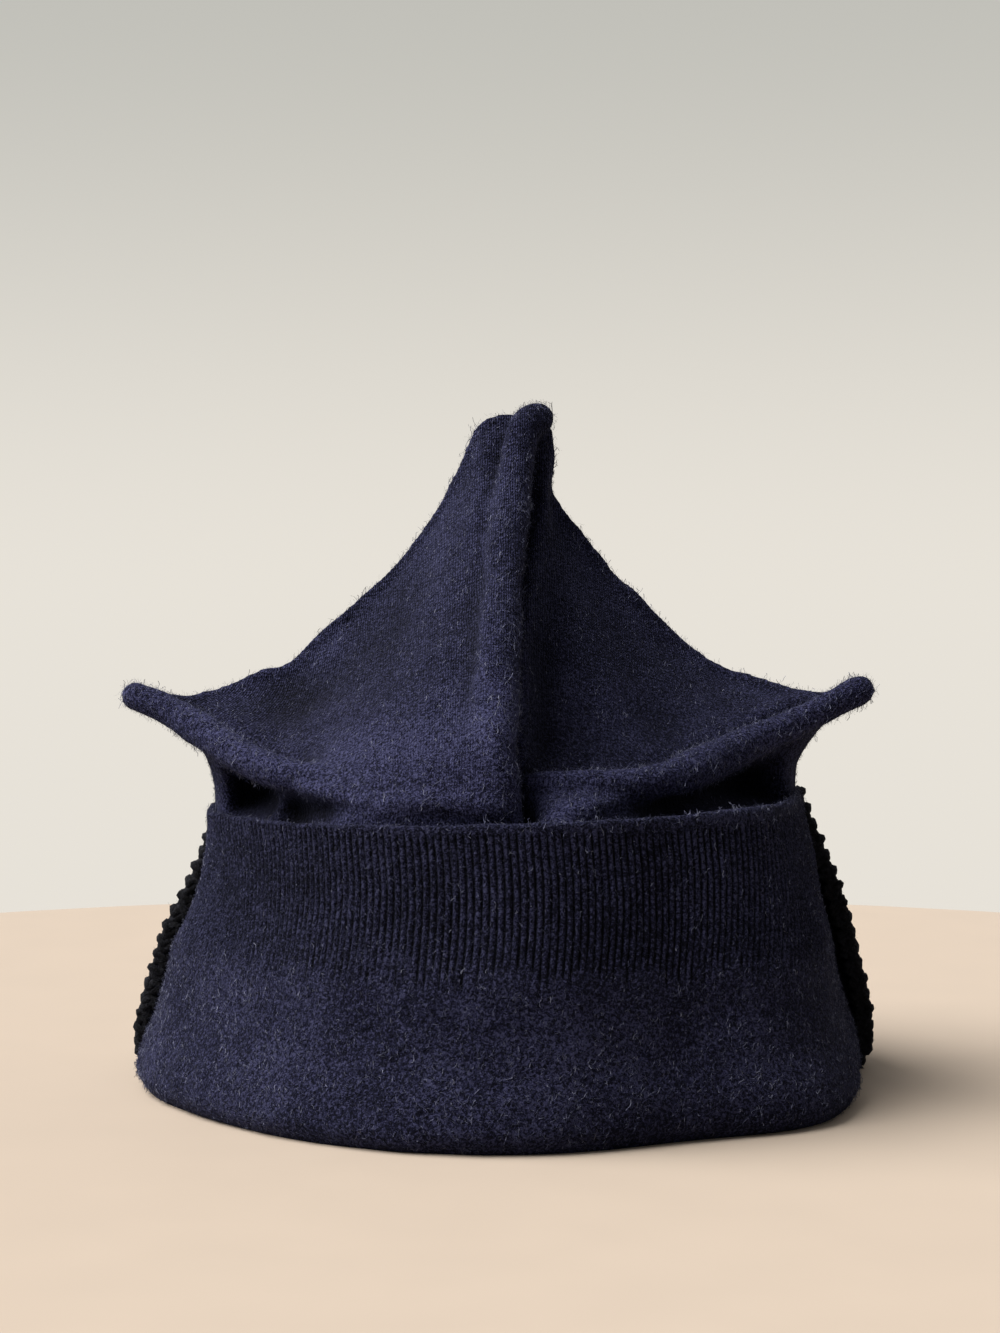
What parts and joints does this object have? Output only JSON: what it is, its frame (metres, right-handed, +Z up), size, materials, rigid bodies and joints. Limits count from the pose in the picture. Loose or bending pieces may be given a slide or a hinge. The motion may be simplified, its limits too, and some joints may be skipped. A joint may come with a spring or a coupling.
{
  "type": "knitted hat",
  "caption": "Soft knitted hat with a closed crown drawn up into a blunt peak and a rolled point at each side, above a deep turned-up cuff, ribbed in front and garter-stitched behind.",
  "frame": {"origin": "on the surface the hat stands on, under the middle of its outline", "axes": "+X to the right seen from the front, +Y to the back, +Z up through the crown"},
  "size_m": [0.205, 0.1993, 0.1809],
  "materials": {
    "crown": "felted fine-gauge wool knit, navy heather, matt with short fuzz",
    "front_cuff": "felted wool, navy heather, ribbed in the upper half and plain below",
    "back_cuff": "chunky black garter-stitch wool, matt"
  },
  "bodies": {
    "root": {"crown": "crown", "front_cuff": "front_cuff", "back_cuff": "back_cuff"}
  },
  "joints": []
}
